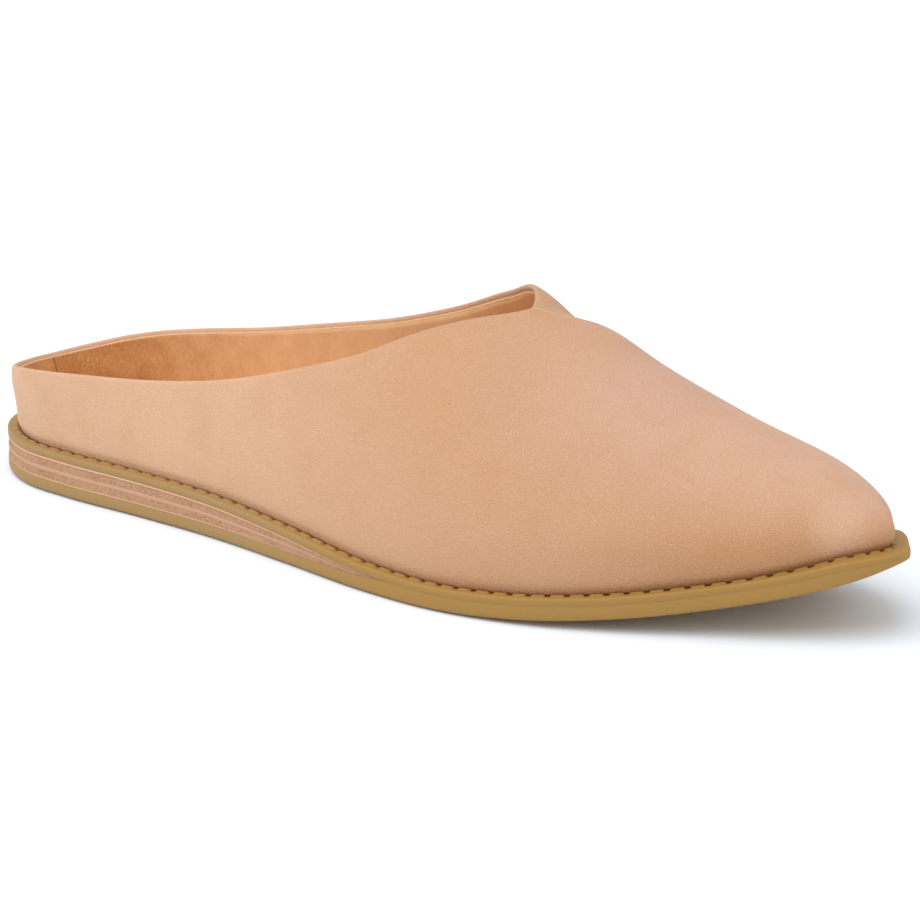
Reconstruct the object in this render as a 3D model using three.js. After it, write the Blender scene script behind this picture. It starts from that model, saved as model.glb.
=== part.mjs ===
// A flat slip-on mule for the right foot: a hollow leather upper, a rubber welt and outsole with
// a thin stacked-leather wedge between them under the heel, and a footbed inside.
// Millimetres, +Z up, +X towards the toe, +Y towards the inner (big-toe) side.
import * as THREE from "three";

// ---- driving sizes ----
const LEDGE = 2.2; // the welt stands out past the upper
const HEEL_LEDGE = 2.9; // and round the back of the heel
const HEEL_LEDGE_END = 14; // up to here
const TOE_LEDGE = 4.2; // and past the tip of the toe
const TOE_LEDGE_START = 222; // where it starts to widen
const WALL = 2; // leather and lining together
const GAP = 0.3; // between pieces that meet
const OUTSOLE = 3.3; // thickness of the rubber outsole
const WELT = 1.9; // thickness of the rubber welt
const SOLE_EDGE = 1.2; // rounding of the outsole's lower edge
const WELT_EDGE = 0.6; // rounding of the welt's upper edge
const WEDGE_INSET = 0.1; // how far the wedge's edge stands back from the sole's
const SPRING_START = 146; // the sole is flat from the heel to here
const SPRING = 16.4; // rise of the sole under the toe tip
const SPRING_CURVE = 2.4; // how late it rises: 1 is a straight slope
const TIP_START = 240; // the sole gets thinner from here to the toe tip
const TIP_CURVE = 1.6; // how late
const OUTSOLE_THINS = 1.2; // what the outsole loses above
const TIP_RISE = 0.8; // and below
const WELT_THINS = 1; // and the welt
const FOOTBED_HEEL = 4.8; // footbed thickness under the heel
const FOOTBED_TOE = 2.4; // and under the toes
const FOOTBED_THINS_FROM = 60; // it thins from here
const FOOTBED_THINS_TO = 200; // to here
const FOOTBED_EDGE = 0.8; // rounding of the footbed's rim
const SIDE_STATIONS = 76; // ribs from the heel to the toe on each side
const THROAT_ALONG = 0.61; // where the ribs come up beside the throat
const THROAT_CROWDING = 0.45; // how much closer together they are there
const RIB_STEPS = 11; // steps up each rib of the upper
const CREST_STEP = 0.01; // either side of a rib, for the slope of the crest there
const ARC_DIVISIONS = 1200; // for distances along the edge of the sole
const HALVINGS = 30; // of an interval, to find a place in it
const KNEE = 1 - Math.SQRT1_2; // the middle of a rounded edge, as a share of its radius

// The edge of the sole seen from above: distance from the heel, and how far it reaches to each side.
const PLAN = [
  { at: 0.8, outer: 0, inner: 0 },
  { at: 3.2, outer: 9.8, inner: 10 },
  { at: 9.6, outer: 17.8, inner: 18.2 },
  { at: 20, outer: 24, inner: 24.6 },
  { at: 36, outer: 26.8, inner: 27.2 },
  { at: 60, outer: 28.2, inner: 27 },
  { at: 85, outer: 30.6, inner: 25.6 },
  { at: 110, outer: 35.2, inner: 26.6 },
  { at: 135, outer: 40.2, inner: 31.4 },
  { at: 157, outer: 41.6, inner: 37.2 },
  { at: 178, outer: 38, inner: 39.2 },
  { at: 198, outer: 30.2, inner: 36.6 },
  { at: 216, outer: 21.2, inner: 31.8 },
  { at: 231, outer: 13.8, inner: 27 },
  { at: 241.5, outer: 7.4, inner: 19.6 },
  { at: 247.6, outer: 2, inner: 11 },
  { at: 250.5, outer: -5, inner: -5 },
];

// Thickness of the wedge, from the heel to its point under the arch.
const WEDGE = [
  { at: 0, lift: 5.4 },
  { at: 50, lift: 5.3 },
  { at: 80, lift: 4.7 },
  { at: 105, lift: 3.2 },
  { at: 130, lift: 1.1 },
  { at: 146, lift: 0.3 },
  { at: 160, lift: 0 },
];
const WEDGE_END = 143; // the wedge's thin front edge

// The top line of the last, where the two sides of each section meet: its place, its height, and
// in degrees how steeply the sides run up to it. Behind the throat the leather is cut away below it.
const CREST = [
  { along: 0, at: 34, inner: 0, up: 58, steep: 10 },
  { along: 0.1, at: 39, inner: 0, up: 64, steep: 14 },
  { along: 0.2, at: 52, inner: 0.4, up: 71, steep: 20 },
  { along: 0.3, at: 72, inner: 1.4, up: 76, steep: 26 },
  { along: 0.4, at: 97, inner: 2.8, up: 77.4, steep: 28 },
  { along: 0.5, at: 123, inner: 4.2, up: 73, steep: 20 },
  { along: 0.6, at: 149, inner: 5.2, up: 64.8, steep: 8 },
  { along: 0.7, at: 174, inner: 5.6, up: 53.4, steep: 2 },
  { along: 0.8, at: 200, inner: 5.8, up: 43.3, steep: 0 },
  { along: 0.9, at: 225, inner: 6, up: 36.2, steep: 0 },
  { along: 1, at: 241, inner: 6, up: 29.4, steep: 0 },
];

// How each side of a section leaves the welt, in degrees (90 is upright, less bulges outwards), and
// how full it is at the foot and under the crest.
const SIDES = [
  { along: 0, outerFoot: 80, innerFoot: 80, footFull: 0.62, crestFull: 0.5 },
  { along: 0.1, outerFoot: 78, innerFoot: 80, footFull: 0.46, crestFull: 0.44 },
  { along: 0.2, outerFoot: 85, innerFoot: 86, footFull: 0.4, crestFull: 0.36 },
  { along: 0.35, outerFoot: 86, innerFoot: 90, footFull: 0.34, crestFull: 0.28 },
  { along: 0.5, outerFoot: 86, innerFoot: 92, footFull: 0.3, crestFull: 0.26 },
  { along: 0.65, outerFoot: 80, innerFoot: 84, footFull: 0.36, crestFull: 0.28 },
  { along: 0.8, outerFoot: 72, innerFoot: 74, footFull: 0.4, crestFull: 0.34 },
  { along: 1, outerFoot: 66, innerFoot: 66, footFull: 0.42, crestFull: 0.42 },
];

// Height of the edge of the opening above the floor, on each side.
const TOPLINE = [
  { at: 0, outerUp: 23.8, innerUp: 23.8 },
  { at: 8, outerUp: 26.8, innerUp: 25.6 },
  { at: 18, outerUp: 29.4, innerUp: 28 },
  { at: 36, outerUp: 31.4, innerUp: 31.6 },
  { at: 60, outerUp: 33.8, innerUp: 36.2 },
  { at: 82, outerUp: 37.6, innerUp: 41.4 },
  { at: 103, outerUp: 43.6, innerUp: 46.4 },
  { at: 122, outerUp: 50.2, innerUp: 52.6 },
  { at: 137, outerUp: 56.7, innerUp: 59 },
  { at: 147, outerUp: 59.7, innerUp: 62.6 },
  { at: 151, outerUp: 60.3, innerUp: 62.6 },
  { at: 155, outerUp: 60.4, innerUp: 61 },
  { at: 160, outerUp: 60, innerUp: 59 },
];

// The front end of the opening, half an ellipse seen from above.
const THROAT = { at: 148.5, inner: 1.2, long: 5.4, wide: 8.8 };

const degrees = (angle) => (angle * Math.PI) / 180;

// Turns a table, one row for each section, into a function of its first column that gives all the others.
function sections(rows) {
  const [place, ...columns] = Object.keys(rows[0]);
  const values = rows.flatMap((row) => columns.map((column) => row[column]));
  const curve = new THREE.CubicInterpolant(rows.map((row) => row[place]), values, columns.length);
  return (at) => {
    const row = [...curve.evaluate(at)];
    return Object.fromEntries(columns.map((column, i) => [column, row[i]]));
  };
}

// A closed curve through the ends of the sections, and a walk along either side of it: 0 at the
// heel, 1 in front.
function closedCurve(outerPoints, innerPoints) {
  const loop = [...outerPoints, ...innerPoints.slice(1, -1).reverse()];
  const curve = new THREE.CatmullRomCurve3(loop, true, "centripetal");
  curve.arcLengthDivisions = ARC_DIVISIONS;
  const lengths = curve.getLengths();
  const front = (outerPoints.length - 1) / loop.length;
  const split = lengths[Math.round(front * ARC_DIVISIONS)] / lengths.at(-1);
  const place = (side, along) => (side === "outer" ? along * split : 1 - along * (1 - split)) % 1;
  return {
    point: (side, along) => curve.getPointAt(place(side, along)),
    // pointing away from the middle of the shoe
    normal: (side, along) => {
      const ahead = curve.getTangentAt(place(side, along));
      return new THREE.Vector3(ahead.y, -ahead.x, 0).normalize();
    },
  };
}

// The share of the way from 0 to 1 up to which isBelow holds.
function shareBelow(isBelow) {
  let [low, high] = [0, 1];
  for (let i = 0; i < HALVINGS; i++) {
    const middle = (low + high) / 2;
    if (isBelow(middle)) low = middle;
    else high = middle;
  }
  return low;
}

// Eases from one value to another as x goes from one place to another.
const ease = (x, from, to, start, end) =>
  THREE.MathUtils.lerp(start, end, THREE.MathUtils.smoothstep(x, from, to));

// ---- heights along the shoe ----
const wedge = sections(WEDGE);
const toe = PLAN.at(-1).at;
const ground = (x) =>
  SPRING * (Math.max(0, x - SPRING_START) / (toe - SPRING_START)) ** SPRING_CURVE;
const tip = (x) => (Math.max(0, x - TIP_START) / (toe - TIP_START)) ** TIP_CURVE;
const outsoleBottom = (x) => ground(x) + TIP_RISE * tip(x);
const outsoleTop = (x) => ground(x) + OUTSOLE - OUTSOLE_THINS * tip(x);
const weltBottom = (x) => outsoleTop(x) + GAP + wedge(x).lift;
const weltTop = (x) => weltBottom(x) + WELT - WELT_THINS * tip(x);
const upperSeat = (x) => weltTop(x) + GAP;
const footbedTop = (x) =>
  upperSeat(x) + ease(x, FOOTBED_THINS_FROM, FOOTBED_THINS_TO, FOOTBED_HEEL, FOOTBED_TOE);

const plan = closedCurve(
  PLAN.map((row) => new THREE.Vector3(row.at, -row.outer, 0)),
  PLAN.map((row) => new THREE.Vector3(row.at, row.inner, 0)),
);
const crest = sections(CREST);
const sides = sections(SIDES);
const topline = sections(TOPLINE);

// A point on the sole's edge, moved in by inset.
function edgePoint({ side, along }, inset) {
  const out = plan.normal(side, along);
  return plan.point(side, along).addScaledVector(out, -inset);
}

// How far the welt stands out at this place.
function ledgeAt({ side, along }) {
  const { x } = plan.point(side, along);
  const behind = ease(x, 0, HEEL_LEDGE_END, HEEL_LEDGE, LEDGE);
  return behind + ease(x, TOE_LEDGE_START, toe, 0, TOE_LEDGE - LEDGE);
}

// The stations round the shoe, up the outer side from the heel and back down the inner side.
// A whole round is closer together beside the throat; a shorter reach is evenly spaced.
function stationsRound(reach = 1) {
  const whole = reach === 1;
  const steps = Math.round(SIDE_STATIONS * reach);
  const crowd = (t) => (THROAT_CROWDING * Math.sin(2 * Math.PI * (t - THROAT_ALONG))) / (2 * Math.PI);
  const places = Array.from({ length: steps + 1 }, (_, i) => {
    const even = (reach * i) / steps;
    return whole ? even - crowd(even) + crowd(0) : even;
  });
  const outer = places.map((along) => ({ side: "outer", along }));
  // the two sides share the heel's station, and the toe's
  const inner = places.slice(1, whole ? -1 : undefined).map((along) => ({ side: "inner", along }));
  return [...outer, ...inner.reverse()];
}

// ---- mesh helpers ----
function meshOf(name, points, faces, look) {
  const geometry = new THREE.BufferGeometry().setFromPoints(points);
  geometry.setIndex(faces.flat());
  geometry.computeVertexNormals();
  const mesh = new THREE.Mesh(geometry, new THREE.MeshStandardMaterial(look));
  mesh.name = name;
  return mesh;
}

// Two triangles for the four corners of a patch, in order, facing the side where they run anticlockwise.
const patch = (a, b, c, d) => [
  [a, b, c],
  [a, c, d],
];

// Fills a ring of count points whose first one is the heel, straight across from side to side.
function across(count, start, facesUp) {
  const faces = [];
  for (let i = 0; i < Math.floor(count / 2); i++) {
    const near = start + i;
    const nearNext = near + 1;
    const far = start + ((count - i) % count);
    const farNext = start + (count - i - 1);
    if (i > 0) faces.push([near, nearNext, far]);
    if (nearNext !== farNext) faces.push([nearNext, farNext, far]);
  }
  return facesUp ? faces : faces.map(([a, b, c]) => [a, c, b]);
}

// The outlines of the flat pieces, as a distance in from the sole's edge.
const soleOutline = () => 0;
const insideUpper = (station) => ledgeAt(station) + WALL + 2 * GAP;

// A flat piece: rings round its outline, from its lower face up its side to its upper face.
function layer(name, outline, rings, look, reach = 1) {
  const stations = stationsRound(reach);
  const count = stations.length;
  const points = rings.flatMap(({ inset, height }) =>
    stations.map((station) => {
      const point = edgePoint(station, outline(station) + inset);
      return point.setZ(height(point.x));
    }),
  );
  const faces = [...across(count, 0, false), ...across(count, (rings.length - 1) * count, true)];
  for (let ring = 0; ring < rings.length - 1; ring++) {
    for (let i = 0; i < count; i++) {
      const next = (i + 1) % count;
      const low = ring * count;
      const high = low + count;
      faces.push(...patch(low + i, low + next, high + next, high + i));
    }
  }
  return meshOf(name, points, faces, look);
}

// ---- the pieces of the sole ----
function makeOutsole() {
  return layer(
    "outsole",
    soleOutline,
    [
      { inset: SOLE_EDGE, height: outsoleBottom },
      { inset: SOLE_EDGE * KNEE, height: (x) => outsoleBottom(x) + SOLE_EDGE * KNEE },
      { inset: 0, height: (x) => outsoleBottom(x) + SOLE_EDGE },
      { inset: 0, height: outsoleTop },
    ],
    { color: 0x9c7433, roughness: 0.55, metalness: 0 },
  );
}

function makeWedge() {
  return layer(
    "heel_wedge",
    soleOutline,
    [
      { inset: WEDGE_INSET, height: (x) => outsoleTop(x) + GAP },
      { inset: WEDGE_INSET, height: (x) => weltBottom(x) - GAP },
    ],
    { color: 0xb98f6b, roughness: 0.75, metalness: 0 },
    shareBelow((along) => plan.point("outer", along).x < WEDGE_END),
  );
}

function makeWelt() {
  return layer(
    "welt",
    soleOutline,
    [
      { inset: 0, height: weltBottom },
      { inset: 0, height: (x) => weltTop(x) - WELT_EDGE },
      { inset: WELT_EDGE, height: weltTop },
    ],
    { color: 0xa57c3a, roughness: 0.55, metalness: 0 },
  );
}

function makeInsole() {
  return layer(
    "insole",
    insideUpper,
    [
      { inset: 0, height: upperSeat },
      { inset: 0, height: (x) => footbedTop(x) - FOOTBED_EDGE },
      { inset: FOOTBED_EDGE, height: footbedTop },
    ],
    { color: 0xd0a070, roughness: 0.95, metalness: 0 },
  );
}

// ---- the upper ----
// One rib of the last: a curve from the welt up to the crest.
function rib(station) {
  const { side, along } = station;
  const out = plan.normal(side, along);
  const foot = edgePoint(station, ledgeAt(station));
  foot.setZ(upperSeat(foot.x));
  const line = crest(along);
  const ahead = crest(Math.min(1, along + CREST_STEP));
  const behind = crest(Math.max(0, along - CREST_STEP));
  const fall = (behind.up - ahead.up) / (ahead.at - behind.at);
  const shape = sides(along);
  const footAngle = degrees(side === "outer" ? shape.outerFoot : shape.innerFoot);
  const leave = out.clone().multiplyScalar(Math.cos(footAngle)).setZ(Math.sin(footAngle));
  // a rib that points along the crest falls with it
  const steep = Math.tan(degrees(line.steep)) * Math.abs(out.y) + fall * out.x;
  const arrive = out.clone().negate().setZ(steep).normalize();
  const top = new THREE.Vector3(line.at, line.inner, line.up);
  const span = foot.distanceTo(top);
  return new THREE.CubicBezierCurve3(
    foot,
    foot.clone().addScaledVector(leave, span * shape.footFull),
    top.clone().addScaledVector(arrive, -span * shape.crestFull),
    top,
  );
}

// Whether a point is in front of the opening's end.
const isPastThroat = ({ x, y }) =>
  x > THROAT.at && Math.hypot((x - THROAT.at) / THROAT.long, (y - THROAT.inner) / THROAT.wide) > 1;

// How far up its rib the leather reaches: to the edge of the opening, or 1 where it closes over the crest.
function cutOf(side, curve) {
  const height = side === "outer" ? "outerUp" : "innerUp";
  const isLeather = (w) => {
    const point = curve.getPoint(w);
    return isPastThroat(point) || point.z < topline(point.x)[height];
  };
  return isLeather(1) ? 1 : shareBelow(isLeather);
}

// The outer face over all the ribs, the inner face WALL behind it, and strips that close the foot and
// the edge of the opening.
function makeUpper() {
  const stations = stationsRound();
  const count = stations.length;
  const rows = RIB_STEPS + 1;
  const curves = stations.map(rib);
  const cuts = stations.map((station, i) => cutOf(station.side, curves[i]));
  const closed = (i) => cuts[i] === 1 && cuts[(count - i) % count] === 1;
  // where the leather closes, the two sides share their points on the crest
  const shares = (i, row) => row === RIB_STEPS && closed(i) && i > count / 2;
  const at = (i, row) => (shares(i, row) ? count - i : i) * rows + row;
  const outside = curves.flatMap((curve, i) =>
    Array.from({ length: rows }, (_, row) => curve.getPoint((cuts[i] * row) / RIB_STEPS)),
  );
  const faces = [];
  for (let i = 0; i < count; i++) {
    const next = (i + 1) % count;
    for (let row = 0; row < RIB_STEPS; row++) {
      const corners = [at(i, row), at(next, row), at(next, row + 1), at(i, row + 1)];
      faces.push(...patch(...corners).filter(([a, b, c]) => a !== b && b !== c && a !== c));
    }
  }

  const skin = new THREE.BufferGeometry().setFromPoints(outside);
  skin.setIndex(faces.flat());
  skin.computeVertexNormals();
  const normals = skin.getAttribute("normal");
  const inside = outside.map((point, i) => {
    const inwards = new THREE.Vector3().fromBufferAttribute(normals, i).negate();
    return point.clone().addScaledVector(inwards, WALL);
  });
  const shift = outside.length;
  const walls = [...faces, ...faces.map(([a, b, c]) => [a + shift, c + shift, b + shift])];
  for (let i = 0; i < count; i++) {
    const next = (i + 1) % count;
    walls.push(...patch(at(next, 0), at(i, 0), at(i, 0) + shift, at(next, 0) + shift));
    if (closed(i) && closed(next)) continue;
    const [a, b] = [at(i, RIB_STEPS), at(next, RIB_STEPS)];
    walls.push(...patch(a, b, b + shift, a + shift));
  }
  const look = { color: 0xd8aa84, roughness: 0.5, metalness: 0 };
  return meshOf("upper", [...outside, ...inside], walls, look);
}

// ---- the shoe, standing with the middle of its box over the origin ----
const shoe = new THREE.Group();
shoe.add(makeOutsole(), makeWedge(), makeWelt(), makeInsole(), makeUpper());
const box = new THREE.Box3().setFromObject(shoe);
shoe.position.set(-(box.min.x + box.max.x) / 2, -(box.min.y + box.max.y) / 2, -box.min.z);

const part = new THREE.Group();
part.add(shoe);
export default part;
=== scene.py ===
"""A flat slip-on mule for the right foot: soft tan leather, a suede lining and footbed, and a rubber welt
and outsole with a thin stacked-leather wedge between them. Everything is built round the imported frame."""

import math

import bpy
import numpy as np
from mathutils import Matrix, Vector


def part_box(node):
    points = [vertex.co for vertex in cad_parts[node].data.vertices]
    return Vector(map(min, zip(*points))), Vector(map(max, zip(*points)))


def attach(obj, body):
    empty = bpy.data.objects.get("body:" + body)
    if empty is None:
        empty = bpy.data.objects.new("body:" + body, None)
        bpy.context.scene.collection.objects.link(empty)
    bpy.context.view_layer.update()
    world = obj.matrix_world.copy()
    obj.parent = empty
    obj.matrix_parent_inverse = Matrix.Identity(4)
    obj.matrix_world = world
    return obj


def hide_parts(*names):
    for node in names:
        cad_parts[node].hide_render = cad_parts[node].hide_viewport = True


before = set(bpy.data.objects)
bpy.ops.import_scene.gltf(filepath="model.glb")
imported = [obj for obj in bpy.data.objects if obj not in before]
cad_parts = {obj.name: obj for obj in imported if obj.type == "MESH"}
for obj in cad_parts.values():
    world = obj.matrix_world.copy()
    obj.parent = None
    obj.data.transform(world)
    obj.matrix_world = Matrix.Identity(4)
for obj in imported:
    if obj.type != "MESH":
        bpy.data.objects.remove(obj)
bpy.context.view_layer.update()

MM = 0.001

# ---- the last, in millimetres: x from the heel to the toe, y towards the inner side, z up ----
LEDGE = 2.2  # how far the welt stands out past the upper
HEEL_LEDGE, HEEL_LEDGE_END = 2.9, 14  # more behind the heel
TOE_LEDGE, TOE_LEDGE_START = 4.2, 222  # and more before the toe
WALL, LEATHER = 2.0, 1.2  # thickness of the leather with its lining, and of the leather alone
GAP = 0.3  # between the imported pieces
OUTSOLE, WELT = 3.3, 1.9  # thickness
SPRING, SPRING_START, SPRING_CURVE = 16.4, 146, 2.4  # how the sole rises in front
TIP_START, TIP_CURVE = 240, 1.6  # and how it gets thinner towards its tip
TIP_RISE, OUTSOLE_THINS, WELT_THINS = 0.8, 1.2, 1.0  # what the tip loses: below, above, and in the welt

# the edge of the sole: at, reach to the outer side, reach to the inner side
PLAN = [
    (0.8, 0, 0),
    (3.2, 9.8, 10),
    (9.6, 17.8, 18.2),
    (20, 24, 24.6),
    (36, 26.8, 27.2),
    (60, 28.2, 27),
    (85, 30.6, 25.6),
    (110, 35.2, 26.6),
    (135, 40.2, 31.4),
    (157, 41.6, 37.2),
    (178, 38, 39.2),
    (198, 30.2, 36.6),
    (216, 21.2, 31.8),
    (231, 13.8, 27),
    (241.5, 7.4, 19.6),
    (247.6, 2, 11),
    (250.5, -5, -5),
]

# thickness of the wedge: at, lift
WEDGE = [(0, 5.4), (50, 5.3), (80, 4.7), (105, 3.2), (130, 1.1), (146, 0.3), (160, 0)]

# the top line of the last: along, at, inner, up, how steeply the sides reach it in degrees
CREST = [
    (0, 34, 0, 58, 10),
    (0.1, 39, 0, 64, 14),
    (0.2, 52, 0.4, 71, 20),
    (0.3, 72, 1.4, 76, 26),
    (0.4, 97, 2.8, 77.4, 28),
    (0.5, 123, 4.2, 73, 20),
    (0.6, 149, 5.2, 64.8, 8),
    (0.7, 174, 5.6, 53.4, 2),
    (0.8, 200, 5.8, 43.3, 0),
    (0.9, 225, 6, 36.2, 0),
    (1, 241, 6, 29.4, 0),
]

# how the sides leave the welt in degrees, and how full they are: along, outer foot, inner foot, foot, crest
SIDES = [
    (0, 80, 80, 0.62, 0.5),
    (0.1, 78, 80, 0.46, 0.44),
    (0.2, 85, 86, 0.4, 0.36),
    (0.35, 86, 90, 0.34, 0.28),
    (0.5, 86, 92, 0.3, 0.26),
    (0.65, 80, 84, 0.36, 0.28),
    (0.8, 72, 74, 0.4, 0.34),
    (1, 66, 66, 0.42, 0.42),
]

# height of the edge of the opening: at, outer, inner
TOPLINE = [
    (0, 23.8, 23.8),
    (8, 26.8, 25.6),
    (18, 29.4, 28),
    (36, 31.4, 31.6),
    (60, 33.8, 36.2),
    (82, 37.6, 41.4),
    (103, 43.6, 46.4),
    (122, 50.2, 52.6),
    (137, 56.7, 59),
    (147, 59.6, 62.4),
    (152, 60, 62),
    (160, 60, 59),
]
# the front end of the opening, seen from above: a nose, and how its edge runs back from there on both sides
THROAT_AT, THROAT_INNER = 154.5, 0.6
THROAT_OUTER_BACK, THROAT_INNER_BACK, THROAT_CURVE = 0.15, 0.117, 1.72
EDGE_BLEND = 1.6  # how sharply this end joins the sides of the opening
EDGE_CROSSING = 8  # this near the middle the height of the edge goes over from one side's to the other's


def size(v):
    """The length of each vector."""
    return np.linalg.norm(v, axis=-1)


def unit(v):
    """The same directions, each of length 1."""
    return v / size(v)[..., None]


def sections(rows):
    """Makes a table, a row for each section, into a smooth function of its first column."""
    table = np.array(rows, float)
    at, values = table[:, 0], table[:, 1:]
    slopes = np.diff(values, axis=0) / np.diff(at)[:, None]
    bends = np.vstack([slopes[:1], (slopes[1:] + slopes[:-1]) / 2, slopes[-1:]])

    def row_at(x):
        x = np.clip(np.asarray(x, float), at[0], at[-1])
        i = np.clip(np.searchsorted(at, x) - 1, 0, len(at) - 2)
        span = (at[i + 1] - at[i])[..., None]
        p = (x - at[i])[..., None] / span
        start = (1 + 2 * p) * (1 - p) ** 2 * values[i] + p * (1 - p) ** 2 * span * bends[i]
        end = p**2 * (3 - 2 * p) * values[i + 1] + p**2 * (p - 1) * span * bends[i + 1]
        return start + end

    return row_at


def closed_curve(points, steps):
    """A smooth closed curve through the points, as many small steps, and its length up to each step."""
    before, here = np.roll(points, 1, axis=0), points
    after, last = np.roll(points, -1, axis=0), np.roll(points, -2, axis=0)
    d0, d1, d2 = (np.sqrt(size(b - a))[:, None] for a, b in ((before, here), (here, after), (after, last)))
    leave = ((here - before) / d0 - (after - before) / (d0 + d1) + (after - here) / d1) * d1
    arrive = ((after - here) / d1 - (last - here) / (d1 + d2) + (last - after) / d2) * d1
    p = (np.arange(steps) / steps)[:, None, None]
    path = (1 + 2 * p) * (1 - p) ** 2 * here + p * (1 - p) ** 2 * leave
    path = path + p**2 * (3 - 2 * p) * after + p**2 * (p - 1) * arrive
    path = path.transpose(1, 0, 2).reshape(-1, 2)
    path = np.vstack([path, path[:1]])
    length = np.concatenate([[0], np.cumsum(size(np.diff(path, axis=0)))])
    return path, length


PLAN_STEPS = 400  # small steps between two sections
EDGE_STEP = 0.4  # either side of a place, for the direction of the edge there
CREST_STEP = 0.01  # the same along the crest, for its fall
outer_side = [(at, -outer) for at, outer, inner in PLAN]
inner_side = [(at, inner) for at, outer, inner in PLAN]
edge_path, edge_length = closed_curve(np.array(outer_side + inner_side[-2:0:-1], float), PLAN_STEPS)
TO_TIP = edge_length[(len(PLAN) - 1) * PLAN_STEPS]
ROUND = edge_length[-1]
TOE = PLAN[-1][0]


def ease(x, start, end):
    """0 before start, 1 after end, and smooth between them."""
    p = np.clip((np.asarray(x, float) - start) / (end - start), 0, 1)
    return p * p * (3 - 2 * p)


def walk(t):
    """The length along the sole's edge for a place: 0 at the heel, 1 at the toe, 2 at the heel again."""
    t = np.mod(t, 2)
    return np.where(t <= 1, t * TO_TIP, TO_TIP + (t - 1) * (ROUND - TO_TIP))


def edge_spot(length):
    """The point this far along the sole's edge."""
    return np.stack([np.interp(np.mod(length, ROUND), edge_length, side) for side in edge_path.T], -1)


def edge_at(t):
    """A point on the edge of the sole, and the direction straight out of it."""
    length = walk(t)
    way = unit(edge_spot(length + EDGE_STEP) - edge_spot(length - EDGE_STEP))
    return edge_spot(length), np.stack([way[..., 1], -way[..., 0]], -1)


def ground(x):
    """Height of the sole's underside, before it thins."""
    return SPRING * (np.maximum(0, x - SPRING_START) / (TOE - SPRING_START)) ** SPRING_CURVE


wedge_lift = sections(WEDGE)
crest_line = sections(CREST)
side_shape = sections(SIDES)
topline = sections(TOPLINE)


def tip(x):
    """How far the sole has thinned: 0 before it starts, 1 at the toe."""
    return (np.maximum(0, x - TIP_START) / (TOE - TIP_START)) ** TIP_CURVE


def outsole_bottom(x):
    return ground(x) + TIP_RISE * tip(x)


def welt_bottom(x):
    return ground(x) + OUTSOLE - OUTSOLE_THINS * tip(x) + GAP + wedge_lift(x)[..., 0]


def welt_top(x):
    return welt_bottom(x) + WELT - WELT_THINS * tip(x)


def seat(x):
    return welt_top(x) + GAP


def ledge(x):
    """How far the welt stands out past the upper."""
    behind = HEEL_LEDGE + (LEDGE - HEEL_LEDGE) * ease(x, 0, HEEL_LEDGE_END)
    return behind + (TOE_LEDGE - LEDGE) * ease(x, TOE_LEDGE_START, TOE)


def rib(t):
    """The four control points of the ribs of the last at the places t, from the welt up to the crest."""
    t = np.mod(t, 2)
    along = np.where(t <= 1, t, 2 - t)
    edge, out = edge_at(t)
    foot = edge - out * ledge(edge[..., 0])[..., None]
    foot = np.concatenate([foot, seat(foot[..., 0])[..., None]], -1)
    at, inner, up, steep = np.moveaxis(crest_line(along), -1, 0)
    ahead = crest_line(np.minimum(1, along + CREST_STEP))
    behind = crest_line(np.maximum(0, along - CREST_STEP))
    fall = (behind[..., 2] - ahead[..., 2]) / (ahead[..., 0] - behind[..., 0])
    outer_foot, inner_foot, foot_full, crest_full = np.moveaxis(side_shape(along), -1, 0)
    angle = np.radians(np.where(t <= 1, outer_foot, inner_foot))
    leave = np.concatenate([out * np.cos(angle)[..., None], np.sin(angle)[..., None]], -1)
    rise = np.tan(np.radians(steep)) * np.abs(out[..., 1]) + fall * out[..., 0]
    arrive = unit(np.concatenate([-out, rise[..., None]], -1))
    top = np.stack([at, inner, up], -1)
    span = size(foot - top)[..., None]
    above_foot = foot + leave * span * foot_full[..., None]
    beside_crest = top - arrive * span * crest_full[..., None]
    return foot, above_foot, beside_crest, top


def last_at(t, w):
    """A point of the last: place t round the sole, share w of the way up to the crest, or past it."""
    is_past = np.asarray(w) > 1
    a, b, c, d = rib(np.where(is_past, 2 - np.mod(t, 2), t))
    w = np.where(is_past, 2 - w, w)[..., None]
    return a * (1 - w) ** 3 + 3 * b * w * (1 - w) ** 2 + 3 * c * w**2 * (1 - w) + d * w**3


# ---- the opening ----
# the stations beside the throat fan out from a place in the opening: along, over, how far they reach
FAN_START, FAN_OVER, FAN_REACH = 0.5, 0.925, 0.42
NOSE = 0.64  # the place round the shoe whose station leads to the throat's front end
MEETING_EASE = 0.04  # how far along in front of it the line where the two sides meet reaches the crest
HALVINGS = 26  # of an interval, to find a place in it


def is_leather(along, over, below):
    """Whether the last is covered here, the edge of the opening lowered by the distance below."""
    x, y, z = np.moveaxis(last_at(along, over), -1, 0)
    across = y - THROAT_INNER
    back = np.where(across < 0, THROAT_OUTER_BACK, THROAT_INNER_BACK) * np.abs(across) ** THROAT_CURVE
    outer_edge, inner_edge = np.moveaxis(topline(x), -1, 0)
    edge = outer_edge + (inner_edge - outer_edge) * ease(y, -EDGE_CROSSING, EDGE_CROSSING)
    past_throat = x - THROAT_AT - below + back
    return np.logaddexp(past_throat * EDGE_BLEND, (edge - below - z) * EDGE_BLEND) > 0


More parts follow.
